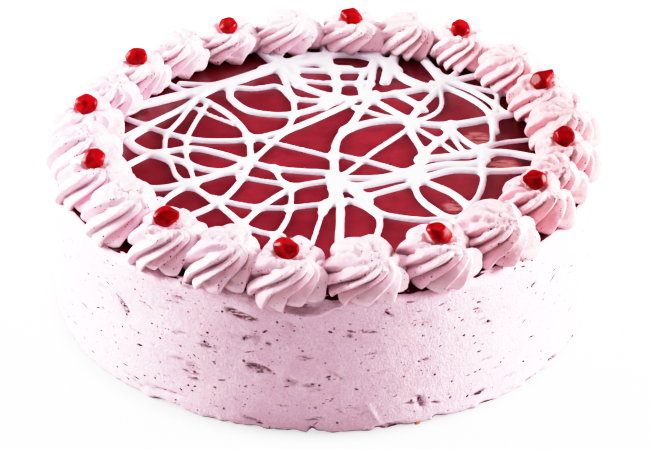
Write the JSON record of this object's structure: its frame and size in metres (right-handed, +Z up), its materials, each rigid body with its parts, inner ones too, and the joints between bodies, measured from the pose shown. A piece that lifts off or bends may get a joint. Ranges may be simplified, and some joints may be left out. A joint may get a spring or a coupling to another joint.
{
  "type": "yogurt cake",
  "caption": "Round cream cake with a smooth pale pink side, red jelly under a white icing drizzle net on top, a rim of piped swirl rosettes and red berries on every second one.",
  "frame": {"origin": "middle of the flat underside, on the surface the cake stands on", "axes": "+Z up along the cake's axis, -Y towards the viewer of the picture, +X to the viewer's right"},
  "size_m": [0.2398, 0.2422, 0.0878],
  "materials": {
    "cream": "matte whipped yogurt cream with fine fruit specks",
    "rosette_cream": "satin piped cream with fine fruit specks",
    "jelly": "glossy clear red jelly",
    "icing": "glossy white icing",
    "berry": "glossy translucent red fruit"
  },
  "bodies": {
    "root": {"cake_body": "cream", "jelly_glaze": "jelly", "rosette_01": "rosette_cream", "rosette_02": "rosette_cream", "rosette_03": "rosette_cream", "rosette_04": "rosette_cream", "rosette_05": "rosette_cream", "rosette_06": "rosette_cream", "rosette_07": "rosette_cream", "rosette_08": "rosette_cream", "rosette_09": "rosette_cream", "rosette_10": "rosette_cream", "rosette_11": "rosette_cream", "rosette_12": "rosette_cream", "rosette_13": "rosette_cream", "rosette_14": "rosette_cream", "rosette_15": "rosette_cream", "rosette_16": "rosette_cream", "rosette_17": "rosette_cream", "rosette_18": "rosette_cream", "rosette_19": "rosette_cream", "rosette_20": "rosette_cream", "rosette_21": "rosette_cream", "rosette_22": "rosette_cream", "rosette_23": "rosette_cream", "rosette_24": "rosette_cream", "berry_01": "berry", "berry_02": "berry", "berry_03": "berry", "berry_04": "berry", "berry_05": "berry", "berry_06": "berry", "berry_07": "berry", "berry_08": "berry", "berry_09": "berry", "berry_10": "berry", "berry_11": "berry", "berry_12": "berry"}
  },
  "joints": []
}
